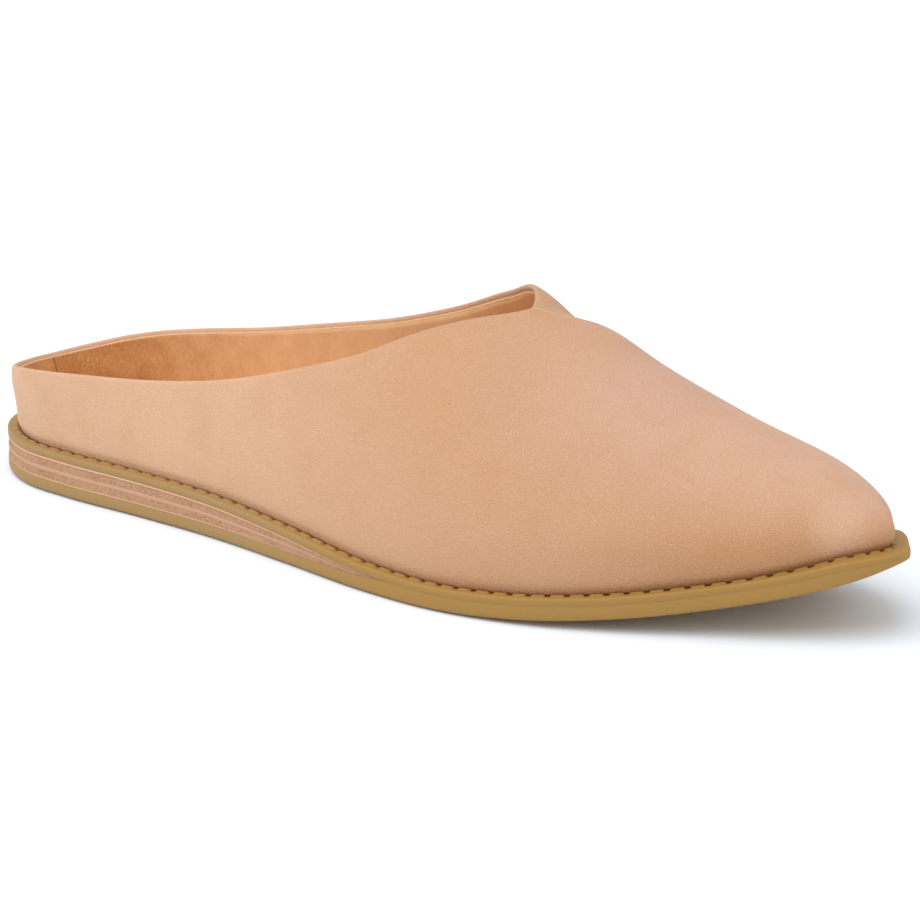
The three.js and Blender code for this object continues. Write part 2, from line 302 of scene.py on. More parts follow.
def opening(t, below=0.0):
    """Where the stations t end at the top: place round the shoe, share of the way up, whether they close.

    Beside the throat the stations fan forward from a place in the opening, so that they meet its rounded
    front end squarely. In front of it the two sides meet on a line that soon runs along the crest.
    """
    along = np.where(t <= 1, t, 2 - t)
    side = np.where(t <= 1, -1, 1)
    nose = along[np.abs(along - NOSE).argmin()]
    lean = np.clip((along - FAN_START) / (nose - FAN_START), 0, 1) * math.pi / 2
    low, high = np.zeros(len(t)), np.ones(len(t))
    for _ in range(HALVINGS):
        middle = (low + high) / 2
        place = np.minimum(along, FAN_START) + middle * np.sin(lean) * FAN_REACH
        over = np.clip(FAN_OVER + side * middle * np.cos(lean), 0, 2)
        covered = is_leather(place, over, below)
        low, high = np.where(covered, low, middle), np.where(covered, middle, high)
    is_closed = along >= nose
    throat = place[along == nose][0]
    past = np.maximum(0, along - nose)
    place = np.where(is_closed, throat + past * (1 - throat) / (1 - nose), place)
    meet = 1 - (1 - FAN_OVER) * (1 - ease(place, throat, throat + MEETING_EASE))
    over = np.where(is_closed, meet, over)
    return np.where(t <= 1, place, 2 - place), np.where(t <= 1, over, 2 - over), is_closed


def stations(t, top_t, reach, rows):
    """The grid of places and shares for stations that start at t and lean to end at top_t."""
    share = np.linspace(0, 1, rows)
    return t[:, None] + (top_t - t)[:, None] * share**2, reach[:, None] * share


# ---- the leather's face ----
# soft places: at, inner, up, reach along, reach across, reach up, lean in degrees, and how deep
# (under 0 stands out)
SOFT_PLACES = [
    (158.3, 12, 58.5, 4.8, 9.5, 40, 0, 2.0),
    (169.5, 12, 54, 7, 12, 40, 0, -0.8),
    (118, -36, 18, 16, 14, 9, 12, 0.35),
    (136, -36, 22, 11, 14, 12, 24, -0.3),
    (176, -28, 30, 12, 14, 14, -20, 0.2),
    (112, 28, 20, 16, 14, 9, 12, 0.35),
    (2, 0, 18, 13, 24, 5.5, 0, 2.1),
]
FOOT_TUCK, FOOT_TUCK_UP = 0.55, 1.3  # the leather draws in above the welt: how deep, how far up
WAVE, WAVE_ALONG, WAVE_UP = 0.07, 17, 9  # its slight waves: height, length along, length up
WAVE_LEAN, WAVE_WIND, WAVE_WIND_UP, WAVE_SHIFT = 23, 1.3, 11, 0.7  # how they lean, wind and start
WAVES_GROW = (12, 24)  # they fade in between these heights


def bell(x, width):
    """1 at 0, falling smoothly towards 0 on both sides."""
    return np.exp(-((x / width) ** 2))


def relief(spot):
    """How far the leather stands out from the last at these points."""
    x, y, z = np.moveaxis(spot, -1, 0)
    out = -FOOT_TUCK * bell(z - seat(x), FOOT_TUCK_UP)
    for at, inner, up, length, width, height, lean, deep in SOFT_PLACES:
        turn = math.radians(lean)
        along = (x - at) * math.cos(turn) + (z - up) * math.sin(turn)
        across = (z - up) * math.cos(turn) - (x - at) * math.sin(turn)
        out = out - deep * bell(along, length) * bell(across, height) * bell(y - inner, width)
    waves = np.sin(x / WAVE_ALONG + WAVE_WIND * np.sin(z / WAVE_WIND_UP))
    waves = waves * np.sin(z / WAVE_UP + y / WAVE_LEAN + WAVE_SHIFT)
    return out + WAVE * waves * ease(z, *WAVES_GROW)


def facing(spots):
    """The outward directions over a grid of points, stations round the shoe by rows up it."""
    round_shoe = np.roll(spots, -1, axis=0) - np.roll(spots, 1, axis=0)
    out = np.cross(round_shoe, np.gradient(spots, axis=1))
    out[:, -1] = out[:, -2]
    return unit(out)


def skin(t, w):
    """The leather's outer face over the grid of places t and shares w, and its outward directions."""
    spots = last_at(t, w)
    spots = spots + facing(spots) * relief(spots)[..., None]
    return spots, facing(spots)


# ---- meshes ----
sole_low, sole_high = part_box("outsole")
plan_middle = (edge_path.min(0) + edge_path.max(0)) / 2
TO_FRAME = np.array([
    (sole_low.x + sole_high.x) / 2 - plan_middle[0] * MM,
    (sole_low.y + sole_high.y) / 2 - plan_middle[1] * MM,
    sole_low.z,
])


def in_frame(spots):
    """Places in millimetres on the last, as places in the frame."""
    return np.asarray(spots, float) * MM + TO_FRAME


def both_sides(count, crowd=0.0, centre=0.5):
    """Places round the shoe, the same on both sides, closer together by the share crowd near the centre."""

    def wave(place):
        return crowd * np.sin(2 * np.pi * (place - centre)) / (2 * np.pi)

    even = np.arange(count + 1) / count
    along = even - wave(even) + wave(0)
    return np.concatenate([along, 2 - along[-2:0:-1]])


def strips(index, wrap=True):
    """Four-cornered faces over a grid of point numbers, stations by rows."""
    here, after = index, np.roll(index, -1, axis=0)
    if not wrap:
        here, after = here[:-1], after[:-1]
    faces = np.stack([here[:, :-1], after[:, :-1], after[:, 1:], here[:, 1:]], -1)
    return faces.reshape(-1, 4)


def across(ring, up=True):
    """Faces that close a ring of point numbers that starts at the heel, straight from side to side."""
    half = len(ring) // 2
    near, far = ring[: half + 1], np.roll(ring[::-1], 1)[: half + 1]
    faces = np.stack([near[:-1], near[1:], far[1:], far[:-1]], -1)
    return faces if up else faces[:, ::-1]


def piece(name, spots, faces, finish, slot, replaces=(), **marks):
    """A smooth mesh from points in millimetres and faces, riding on the shoe. Marks number each point."""
    faces = np.vstack(faces)
    used, numbers = np.unique(faces, return_inverse=True)
    faces = numbers.reshape(faces.shape)
    spots = spots.reshape(-1, 3)[used]
    corners = [list(dict.fromkeys(face)) for face in faces.tolist()]
    mesh = bpy.data.meshes.new(name)
    mesh.from_pydata(in_frame(spots).tolist(), [], [face for face in corners if len(face) > 2])
    for mark, values in marks.items():
        values = np.ravel(values)[used].astype(np.float32)
        mesh.attributes.new(mark, "FLOAT", "POINT").data.foreach_set("value", values)
    mesh.shade_smooth()
    mesh.materials.append(finish)
    made = bpy.data.objects.new(name, mesh)
    bpy.context.collection.objects.link(made)
    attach(made, "root")
    if replaces:
        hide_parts(*replaces)


def closed_rows(index, is_closed):
    """Joins the last row of the two sides where the leather closes over the crest."""
    count = len(index)
    for i in np.nonzero(is_closed)[0]:
        if i > count // 2:
            index[i, -1] = index[count - i, -1]
    return index


def rim_loop(is_closed):
    """The stations whose last points go round the edge of the opening, from the heel and back."""
    count = len(is_closed)
    first = int(np.argmax(is_closed))
    return np.concatenate([np.arange(first + 1), np.arange(count - first + 1, count)])


# ---- the upper ----
UPPER_STATIONS, UPPER_ROWS = 320, 66
THROAT_ALONG, THROAT_CROWDING = 0.6, 0.45  # the stations crowd at the throat: where, and by how much
RIM_ROUND = 0.7  # how far the folded edge comes up past the leather's own
FOOT_ROWS = [(1.1, 1.3), (0.5, 0.8), (0.15, 0.35)]  # the foot tucks in behind the teeth: in, down
# the folded edge of the opening: out of the leather, on past its edge
EDGE_FOLD = [
    (-0.05, 0.28),
    (-0.2, 0.52),
    (-0.45, 0.7),
    (-0.75, 0.76),
    (-1.05, 0.68),
    (-1.28, 0.46),
    (-1.42, 0.16),
    (-1.47, -0.1),
    (-1.5, -0.28),
    (-1.66, -0.36),
    (-1.86, -0.46),
    (-1.97, -0.64),
    (-1.95, -0.86),
    (-1.8, -1.1),
    (-1.3, -1.3),
]
FOLD_LIGHT = slice(10, 13)  # its rows where the cut edge shows
FOLD_BEHIND, FOLD_GROWS = 0.4, (105, 150)  # share of its depth at the heel, and where it deepens
FOLD_FACING = 0.8  # how far up it counts as facing, for the painted top light and low shade in its colour


def fold_depth(x):
    """The folded edge is deep beside the throat and shallow behind it."""
    return FOLD_BEHIND + (1 - FOLD_BEHIND) * ease(x, *FOLD_GROWS)


def make_upper(finish):
    """One closed shell: outer face, the edge folded in round the opening, inner face, tucked foot."""
    t = both_sides(UPPER_STATIONS, THROAT_CROWDING, THROAT_ALONG)
    top_t, reach, is_closed = opening(t, RIM_ROUND)
    outer, out = skin(*stations(t, top_t, reach, UPPER_ROWS))
    up_facing = out[..., 2]
    tucks = [outer[:, 0] - out[:, 0] * tuck - np.array([0, 0, drop]) for tuck, drop in FOOT_ROWS]
    outer = np.concatenate([np.stack(tucks, 1), outer], 1)
    out = np.concatenate([np.repeat(out[:, :1], len(tucks), 1), out], 1)
    up_facing = np.concatenate([np.repeat(up_facing[:, :1], len(tucks), 1), up_facing], 1)
    rows = outer.shape[1]
    inner = outer - out * LEATHER
    index = closed_rows(np.arange(outer.shape[0] * rows).reshape(-1, rows), is_closed)

    loop = rim_loop(is_closed)
    edge, edge_out = outer[loop, -1], out[loop, -1]
    edge_way = unit(np.roll(edge, -1, axis=0) - np.roll(edge, 1, axis=0))
    onward = unit(np.cross(edge_out, edge_way))
    depth = fold_depth(edge[:, 0])[:, None]
    fold = [edge + edge_out * rise + onward * past * (depth if past < 0 else 1) for rise, past in EDGE_FOLD]
    fold = np.stack(fold, 1)

    spots = np.vstack([outer.reshape(-1, 3), inner.reshape(-1, 3), fold.reshape(-1, 3)])
    back = index + index.size
    fold_index = 2 * index.size + np.arange(fold.shape[0] * fold.shape[1]).reshape(fold.shape[:2])
    rim = np.hstack([index[loop, -1:], fold_index, back[loop, -1:]])
    foot = np.stack([back[:, 0], index[:, 0]], 1)
    faces = [strips(index), strips(back)[:, ::-1], strips(rim), strips(foot)]
    cut, shine = np.zeros(len(spots)), np.zeros(len(spots))
    cut[fold_index[:, FOLD_LIGHT].ravel()] = 1
    # how far the leather faces up, which its colour uses for painted top light and for painted shade low in
    # front
    shine[: index.size] = up_facing.ravel()
    shine[fold_index.ravel()] = FOLD_FACING
    piece("upper_leather", spots, faces, finish, "upper", ["upper"], cut_edge=cut, up_facing=shine)


# ---- the lapped seam ----
# from the throat's corner over the top and down the inner side: place along the sides, and share of the way
# up, past 1 on the inner side
SEAM = [
    (0.6208, 0.913),
    (0.6235, 0.921),
    (0.629, 0.937),
    (0.635, 0.954),
    (0.641, 0.973),
    (0.648, 0.991),
    (0.654, 1.015),
    (0.653, 1.06),
    (0.648, 1.13),
    (0.64, 1.3),
    (0.632, 1.5),
    (0.627, 1.7),
    (0.625, 1.85),
    (0.624, 1.995),
]
SEAM_STEPS, SEAM_FADES = 90, 8  # steps along it, and those at each end over which it runs out
SEAM_END, SEAM_SINK = 0.3, 0.05  # share of its width at its ends, and how deep it sits in the leather
SEAM_EDGE_HIGHLIGHT = 0.4  # how much of the cut edge's pale colour it has, partly a painted highlight along its ridge
# its section: across, out
SEAM_PROFILE = [
    (0.4, -0.15),
    (0.3, 0.06),
    (0.12, 0.14),
    (-0.08, 0.14),
    (-0.3, 0.05),
    (-0.45, -0.15),
    (0, -0.4),
]
SMALL_ALONG, SMALL_OVER = 0.002, 0.01  # either side of a place on the last, for its directions


def make_seam(finish):
    """The folded edge where the vamp laps over the side, from the throat's corner over the top and down."""
    steps = np.linspace(0, len(SEAM) - 1, SEAM_STEPS)
    along, over = np.moveaxis(sections([(i, *spot) for i, spot in enumerate(SEAM)])(steps), -1, 0)
    spots = last_at(along, over)
    ahead = last_at(along + SMALL_ALONG, over) - last_at(along - SMALL_ALONG, over)
    upward = last_at(along, over + SMALL_OVER) - last_at(along, over - SMALL_OVER)
    out = unit(np.cross(ahead, upward))
    spots = spots + out * relief(spots)[:, None]
    way = unit(np.gradient(spots, axis=0))
    side = unit(np.cross(way, out))
    from_end = np.minimum(np.arange(SEAM_STEPS), np.arange(SEAM_STEPS)[::-1])
    fade = np.minimum(1, from_end / SEAM_FADES)[:, None]
    wide = SEAM_END + (1 - SEAM_END) * fade
    rows = [spots + side * a * wide + out * (rise * fade - SEAM_SINK) for a, rise in SEAM_PROFILE]
    rows = np.stack(rows, 1)
    index = np.arange(rows.shape[0] * rows.shape[1]).reshape(rows.shape[:2])
    ring = np.hstack([index, index[:, :1]])
    first, last = index[0], index[-1]
    ends = [(first[0], first[i + 1], first[i], first[i]) for i in range(1, len(first) - 1)]
    ends += [(last[0], last[i], last[i + 1], last[i + 1]) for i in range(1, len(last) - 1)]
    faces = [strips(ring, wrap=False), np.array(ends)]
    # pale all along, partly a painted highlight on the ridge, and facing up everywhere, for the painted top
    # light
    pale = np.full(rows.shape[:2], SEAM_EDGE_HIGHLIGHT)
    piece("lapped_seam", rows, faces, finish, "upper", cut_edge=pale, up_facing=np.ones(rows.shape[:2]))


# ---- the lining ----
LINING_STATIONS, LINING_ROWS = 200, 30
LINING_BELOW, LINING_BELOW_FOLD = 0.1, 0.7  # how far it stops below the edge, and more by the fold's depth
LINING_FACE, LINING_BACK = WALL - 0.05, LEATHER + 0.1  # how deep its two faces lie under the leather's


def make_lining(finish):
    """A thin closed shell inside the leather, from the folded edge down to the footbed."""
    t = both_sides(LINING_STATIONS, THROAT_CROWDING, THROAT_ALONG)
    edge_x = last_at(*opening(t)[:2])[:, 0]
    below = RIM_ROUND + LINING_BELOW + LINING_BELOW_FOLD * fold_depth(edge_x)
    top_t, reach, is_closed = opening(t, below)
    outer, out = skin(*stations(t, top_t, reach, LINING_ROWS))
    face = outer - out * LINING_FACE
    back = outer - out * LINING_BACK
    index = closed_rows(np.arange(outer.shape[0] * LINING_ROWS).reshape(-1, LINING_ROWS), is_closed)
    behind = index + index.size
    loop = rim_loop(is_closed)
    rim = np.stack([index[loop, -1], behind[loop, -1]], 1)
    foot = np.stack([behind[:, 0], index[:, 0]], 1)
    faces = [strips(index)[:, ::-1], strips(behind), strips(rim)[:, ::-1], strips(foot)[:, ::-1]]
    piece("lining", np.vstack([face.reshape(-1, 3), back.reshape(-1, 3)]), faces, finish, "lining")


# ---- the footbed ----
FOOTBED_STATIONS, FOOTBED_COLUMNS = 160, 26
FOOTBED_HEEL, FOOTBED_TOE, FOOTBED_THINS = 4.8, 2.4, (60, 200)  # thickness, and where it changes
FOOTBED_CLEAR = 0.1  # between it and the lining
FOOTBED_LIP, FOOTBED_LIP_WIDTH = 0.7, 2.5  # its brim turns up
FOOTBED_ROUND, FOOTBED_ROUND_WIDTH = 0.5, 0.5  # and its very edge rounds down


def make_footbed(finish):
    """A thin firm footbed that turns up a little where it meets the lining."""
    along = np.linspace(0, 1, FOOTBED_STATIONS)
    sides = []
    for t in (along, 2 - along):
        edge, out = edge_at(t)
        sides.append(edge - out * (ledge(edge[:, 0]) + WALL + FOOTBED_CLEAR)[:, None])
    v = np.linspace(-1, 1, FOOTBED_COLUMNS)
    plan = sides[0][:, None] * (1 - v[:, None]) / 2 + sides[1][:, None] * (1 + v[:, None]) / 2
    x = plan[..., 0]
    top = seat(x) + FOOTBED_HEEL + (FOOTBED_TOE - FOOTBED_HEEL) * ease(x, *FOOTBED_THINS)
    brim = np.minimum(size(plan - sides[0][:, None]), size(plan - sides[1][:, None]))
    top = top + FOOTBED_LIP * bell(brim, FOOTBED_LIP_WIDTH)
    top = top - FOOTBED_ROUND * bell(brim, FOOTBED_ROUND_WIDTH)
    upper_face = np.concatenate([plan, top[..., None]], -1)
    lower_face = np.concatenate([plan, seat(x)[..., None]], -1)
    index = np.arange(x.size).reshape(x.shape)
    below = index + x.size
    ring = np.concatenate([index[:, 0], index[::-1, -1]])
    ring_below = np.concatenate([below[:, 0], below[::-1, -1]])
    faces = [
        strips(index, wrap=False),
        strips(below, wrap=False)[:, ::-1],
        strips(np.stack([ring_below, ring], 1)),
    ]
    spots = np.vstack([upper_face.reshape(-1, 3), lower_face.reshape(-1, 3)])
    piece("footbed", spots, faces, finish, "lining", ["insole"])


# ---- the sole ----
SOLE_STATIONS, WEDGE_STATIONS = 720, 220
SOLE_COVER = 4  # how far the faces that lie on each other reach in from the edge
JOIN_START, WEDGE_END = 128, 146  # here the welt and the outsole run together, in front of the wedge
OUTSOLE_ROUND, OUTSOLE_ROUND_STEPS = 1.2, 7  # its rounded lower edge
# the welt's and the outsole's edges are softened where the wedge parts them, and hardly in front of it
OUTSOLE_SOFT, WELT_SOFT, LEAST_SOFT = 0.16, 0.13, 0.01
SOFT_CORNER = 0.3  # share of the outsole's softening at its corner
# the welt's rounded upper edge: in, down
WELT_ROUND = [(0, 0.6), (0.09, 0.3), (0.3, 0.08), (0.6, 0)]
# and its teeth: in past the upper's foot, up on a tooth, up in a gap, and how much painted light there is
# on a tooth and in a gap, a lighter tone where shade falls between the teeth and under the upper
TEETH = [
    (-1.3, 0.03, 0.03, 0, 0),
    (-0.95, 0.06, 0.06, 0, 0),
    (-0.7, 0.16, -0.1, 0, 0),
    (-0.4, 0.32, -0.32, 0, 1),
    (-0.1, 0.36, -0.4, 0, 1),
    (0.2, 0.1, -0.45, 1, 1),
    (0.8, -0.45, -0.45, 1, 1),
    (2, -0.5, -0.5, 1, 1),
]
TEETH_ROUND = 124  # how many there are round the shoe
TOOTH_SKEW = 0.09  # how far it leans to one side, as a share of the pitch
TOOTH_SIDES = (0.12, 0.6)  # the shares of its wave between which a tooth rises
GAPS_BEHIND, GAPS_GROW = 0.5, (40, 150)  # share of their depth at the heel, and where they deepen
# the wedge's face: share of its height, how far it stands back
WEDGE_PROFILE = [
    (0, 0.5),
    (0, 0.12),
    (0.03, 0.02),
    (0.07, 0.05),
    (0.1, 0.2),
    (0.2, 0.16),
    (0.3, 0.17),
    (0.38, 0.22),
    (0.42, 0.1),
    (0.5, 0.06),
    (0.56, 0.1),
    (0.6, 0.22),
    (0.7, 0.17),
    (0.8, 0.16),
    (0.9, 0.2),
    (0.93, 0.05),
    (0.97, 0.02),
    (1, 0.12),
    (1, 0.5),
]
ALONG_STEPS = 2001  # places along the edge, to find one


def band(name, t, rings, finish, slot, replaces, **marks):
    """A flat piece of the sole: rings of (inset, height) round its edge from below up, closed across."""
    edge, out = edge_at(t)
    x = edge[:, 0]
    rows = []
    for inset, height in rings:
        spot = edge - out * np.broadcast_to(inset, x.shape)[:, None]
        rows.append(np.concatenate([spot, np.broadcast_to(height, x.shape)[:, None]], 1))
    spots = np.stack(rows, 1)
    index = np.arange(spots.shape[0] * spots.shape[1]).reshape(spots.shape[:2])
    faces = [strips(index), across(index[:, 0], up=False), across(index[:, -1])]
    piece(name, spots, faces, finish, slot, replaces, **marks)


def joined(x):
    """How far the welt and the outsole have run together: 0 beside the wedge, 1 in front of it."""
    return ease(x, JOIN_START, WEDGE_END)


def outsole_top(x):
    """The outsole's upper edge: under the wedge, and then up to the welt in front of it."""
    under = ground(x) + OUTSOLE - OUTSOLE_THINS * tip(x)
    return under + (welt_bottom(x) - under) * joined(x)


def make_outsole(finish):
    """The rubber under the foot, round below and softened where it meets the wedge."""
    t = both_sides(SOLE_STATIONS)
    x = edge_at(t)[0][:, 0]
    low, top = outsole_bottom(x), outsole_top(x)
    soft = LEAST_SOFT + OUTSOLE_SOFT * (1 - joined(x))
    rings = []
    for angle in np.linspace(0, math.pi / 2, OUTSOLE_ROUND_STEPS):
        rings.append((OUTSOLE_ROUND * (1 - math.sin(angle)), low + OUTSOLE_ROUND * (1 - math.cos(angle))))
    corner = SOFT_CORNER * soft
    rings += [(0, top - soft), (corner, top - corner), (soft, top), (SOLE_COVER, top)]
    band("outsole_rubber", t, rings, finish, "sole", ["outsole"])


def tooth_at(t, x):
    """1 on the welt's teeth and 0 in the gaps between them, which are shallower behind."""
    wave = walk(t) * TEETH_ROUND / ROUND
    wave = 0.5 - 0.5 * np.cos(2 * np.pi * (wave + TOOTH_SKEW * np.sin(2 * np.pi * wave)))
    tooth = ease(wave, *TOOTH_SIDES)
    return 1 - (1 - tooth) * (GAPS_BEHIND + (1 - GAPS_BEHIND) * ease(x, *GAPS_GROW))


def make_welt(finish):
    """The rubber band under the upper, with a row of small rounded teeth along its inner edge."""
    t = both_sides(SOLE_STATIONS)
    x = edge_at(t)[0][:, 0]
    low, top, wide = welt_bottom(x), welt_top(x), ledge(x)
    soft = LEAST_SOFT + WELT_SOFT * (1 - joined(x))
    tooth = tooth_at(t, x)
    rings = [(SOLE_COVER, low), (soft, low), (0, low + soft)]
    rings += [(inset, top - down) for inset, down in WELT_ROUND]
    # painted light where shade falls between the teeth and under the upper
    grooves = [np.zeros(len(t))] * len(rings)
    for past, tooth_up, gap_up, tooth_groove, gap_groove in TEETH:
        rings.append((wide + past, top + tooth_up * tooth + gap_up * (1 - tooth)))
        grooves.append(tooth_groove * tooth + gap_groove * (1 - tooth))
    band("welt_rubber", t, rings, finish, "sole", ["welt"], groove=np.stack(grooves, 1))


def along_to(x):
    """How far along the outer side the edge of the sole reaches x."""
    along = np.linspace(0, 1, ALONG_STEPS)
    return along[np.argmax(edge_at(along)[0][:, 0] >= x)]


def make_wedge(finish):
    """The stacked edge: two rough layers, a smooth one between them, a thin pale line above and below."""
    end = along_to(WEDGE_END)
    along = np.linspace(0, end, WEDGE_STATIONS)
    t = np.concatenate([along, 2 - along[:0:-1]])
    x = edge_at(t)[0][:, 0]
    low, top = outsole_top(x), welt_bottom(x)
    rings = [(inset, low + (top - low) * share) for share, inset in WEDGE_PROFILE]
    layer = np.tile([share for share, inset in WEDGE_PROFILE], (len(t), 1))
    band("stacked_wedge", t, rings, finish, "wedge", ["heel_wedge"], layer=layer)


# ---- finishes ----
def shade(red, green, blue):
    """A colour from its eight-bit values, as light."""
    return tuple(((c / 255 + 0.055) / 1.055) ** 2.4 for c in (red, green, blue))


# the darker tan is also the painted shade low in front and the paler one the painted light behind; both
# also tint random patches, and the darker one the grain
TAN, TAN_SHADE_AND_GRAIN, TAN_LIT_AND_PATCHES = shade(193, 147, 110), shade(182, 130, 87), shade(214, 171, 137)
# the rose is painted top light on the front, and the pale rose a painted highlight on the toe
ROSE_TOP_LIGHT, ROSE_HIGHLIGHT = shade(203, 161, 138), shade(232, 194, 174)
SPECKLE, CUT_EDGE = shade(226, 186, 150), shade(236, 192, 150)
SUEDE, SUEDE_DEEP, SUEDE_LIGHT = shade(230, 182, 132), shade(184, 124, 66), shade(238, 192, 142)
# the lining's front colour is painted shade and warm bounce light under the vamp
SUEDE_UNDER_VAMP_SHADE, SEAM_DEEP = shade(236, 164, 72), shade(120, 76, 40)
FOOTBED, FOOTBED_LIGHT = shade(238, 194, 148), shade(248, 210, 168)
RUBBER, RUBBER_HEEL, RUBBER_WARM = shade(160, 122, 60), shade(160, 128, 80), shade(162, 119, 56)
# painted light: a lighter tone where shade falls between the welt's teeth and under the upper
GROOVE_LIGHT, GROOVE_LIGHT_HEEL = shade(176, 128, 58), shade(170, 134, 80)
STACK, STACK_DEEP = shade(188, 144, 110), shade(154, 114, 84)
STACK_PINK, STACK_LIGHT, PIPING = shade(190, 148, 122), shade(198, 157, 124), shade(228, 186, 148)

# where one colour goes over into the next, as places in the frame, in metres
# painted light behind, painted shade low in front, and painted top light on the front
LIT_REAR_TO_MIDDLE = (-0.06, 0.04)
TO_LOW_SHADE_FRONT, TO_TOP_LIGHT_FRONT = (0.02, 0.1), (0.02, 0.06)
# the suede goes over from heel to middle, and then into painted shade and warm bounce light under the vamp
SUEDE_PLAIN, UNDER_VAMP_SHADE = (-0.115, -0.05), (-0.01, 0.035)
RUBBER_PLAIN = (-0.05, 0.03)
TOE_HIGHLIGHT, TOE_HIGHLIGHT_REACH = (0.111, -0.001, 0.0225), 0.01  # where a highlight is painted on the toe
# the lining's seam inside the heel: how far towards the inner side, its soft edge, its width, where it ends
LINING_SEAM, LINING_SEAM_EDGE, LINING_SEAM_WIDE = 0.005, 0.0003, 0.0008
LINING_SEAM_ENDS = (-0.116, -0.112)


class Wire:
    """An output socket. Sums on it add Math nodes, and node() adds any other node."""

    def __init__(self, tree, socket=None):
        self.tree, self.socket = tree, socket

    def node(self, kind, settings=None, sockets=None, out=0):
        """A new node of this type, with its settings and the values or links of its sockets."""
        made = self.tree.nodes.new("ShaderNode" + kind)
        for name, value in (settings or {}).items():
            setattr(made, name, value)
        for name, value in (sockets or {}).items():
            if isinstance(value, Wire):
                self.tree.links.new(value.socket, made.inputs[name])
            else:
                made.inputs[name].default_value = value
        return Wire(self.tree, made.outputs[out])

    def maths(self, operation, first, second):
        return self.node("Math", {"operation": operation}, {0: first, 1: second})

    def __add__(self, other):
        return self.maths("ADD", self, other)

    __radd__ = __add__

    def __rsub__(self, other):
        return self.maths("SUBTRACT", other, self)

    def __mul__(self, other):
        return self.maths("MULTIPLY", self, other)

    __rmul__ = __mul__

    def between(self, low, high):
        """0 below low, 1 above high, and smooth between them."""
        smooth = {"interpolation_type": "SMOOTHSTEP"}
        return self.node("MapRange", smooth, {"Value": self, "From Min": low, "From Max": high})

    def blend(self, first, second):
        """The first colour where this is 0 and the second where it is 1."""
        first, second = [(*c, 1) if isinstance(c, tuple) else c for c in (first, second)]
        return self.node("Mix", {"data_type": "RGBA"}, {0: self, 6: first, 7: second}, out=2)


def finish_of(name, paint):
    """A material: paint(wire, place) gives the values of the shader's sockets."""
    material = bpy.data.materials.new(name)
    material.use_nodes = True
    tree = material.node_tree
    shader = next(node for node in tree.nodes if node.type == "BSDF_PRINCIPLED")
    start = Wire(tree)
    place = start.node("TexCoord", out="Object")
    for socket, value in paint(start, place).items():
        if isinstance(value, Wire):
            tree.links.new(value.socket, shader.inputs[socket])
        else:
            shader.inputs[socket].default_value = (*value, 1) if isinstance(value, tuple) else value
    return material


def noise(wire, place, grain_mm, detail, roughness=0.5):
    """Soft random values with grains of about this size."""
    values = {"Vector": place, "Scale": 1 / (grain_mm * MM), "Detail": detail, "Roughness": roughness}
    return wire.node("TexNoise", {}, values)


def cells(wire, place, size_mm):
    """0 on the borders of small cells of about this size, and more inside them."""
    values = {"Vector": place, "Scale": 1 / (size_mm * MM)}
    return wire.node("TexVoronoi", {"feature": "DISTANCE_TO_EDGE"}, values)


def bump(wire, height, depth_mm):
    """Bent normals for a surface that is rough by this much."""
    return wire.node("Bump", {}, {"Height": height, "Distance": depth_mm * MM, "Strength": 1.0})


def across_frame(wire, place, axis):
    """How far along the frame's X (0) or Y (1) a place is."""
    return wire.node("SeparateXYZ", {}, {0: place}, out=axis)


def mark_of(wire, name):
    """The number that a piece's points carry under this name."""
    return wire.node("Attribute", {"attribute_name": name}, out="Fac")


def leather(wire, place):
    """Tan leather with a fine pebble grain: painted lighter behind, painted rosy top light on the front
    with a painted highlight on the toe, painted shade low in front.
    """
    pebble = cells(wire, place, size_mm=0.65)
    fine = noise(wire, place, grain_mm=0.4, detail=2)
    cloud = noise(wire, place, grain_mm=11, detail=3)
    broad = noise(wire, place, grain_mm=45, detail=2)
    ahead = across_frame(wire, place, 0)
    up_facing = mark_of(wire, "up_facing")
    # painted light: the rear lighter
    colour = ahead.between(*LIT_REAR_TO_MIDDLE).blend(TAN_LIT_AND_PATCHES, TAN)
    # painted shade low in front, where the leather does not face up
    colour = (ahead.between(*TO_LOW_SHADE_FRONT) * (1 - up_facing.between(0.1, 0.6))).blend(colour, TAN_SHADE_AND_GRAIN)
    # painted top light: rosier where the front faces up
    colour = (ahead.between(*TO_TOP_LIGHT_FRONT) * up_facing.between(0.5, 0.92)).blend(colour, ROSE_TOP_LIGHT)
    # a painted highlight on the toe
    from_toe_highlight = wire.node("VectorMath", {"operation": "DISTANCE"}, {0: place, 1: TOE_HIGHLIGHT}, out=1)
    colour = ((1 - from_toe_highlight.between(0, TOE_HIGHLIGHT_REACH)) * 0.5).blend(colour, ROSE_HIGHLIGHT)
    colour = (broad.between(0.4, 0.7) * 0.25).blend(colour, TAN_LIT_AND_PATCHES)
    colour = (cloud.between(0.4, 0.75) * 0.2).blend(colour, TAN_SHADE_AND_GRAIN)
    colour = (fine.between(0.5, 0.72) * 0.28).blend(colour, SPECKLE)
    colour = ((1 - pebble.between(0, 0.16)) * 0.26).blend(colour, TAN_SHADE_AND_GRAIN)
    colour = (mark_of(wire, "cut_edge") * 0.8).blend(colour, CUT_EDGE)
    return {
        "Base Color": colour,
        "Roughness": 0.5 + 0.16 * fine,
        "Specular IOR Level": 0.36,
        "Sheen Weight": 0.06,
        "Sheen Roughness": 0.4,
        "Normal": bump(wire, pebble.between(0, 0.3) * 0.5 + fine + cloud * 1.6, depth_mm=0.14),
    }


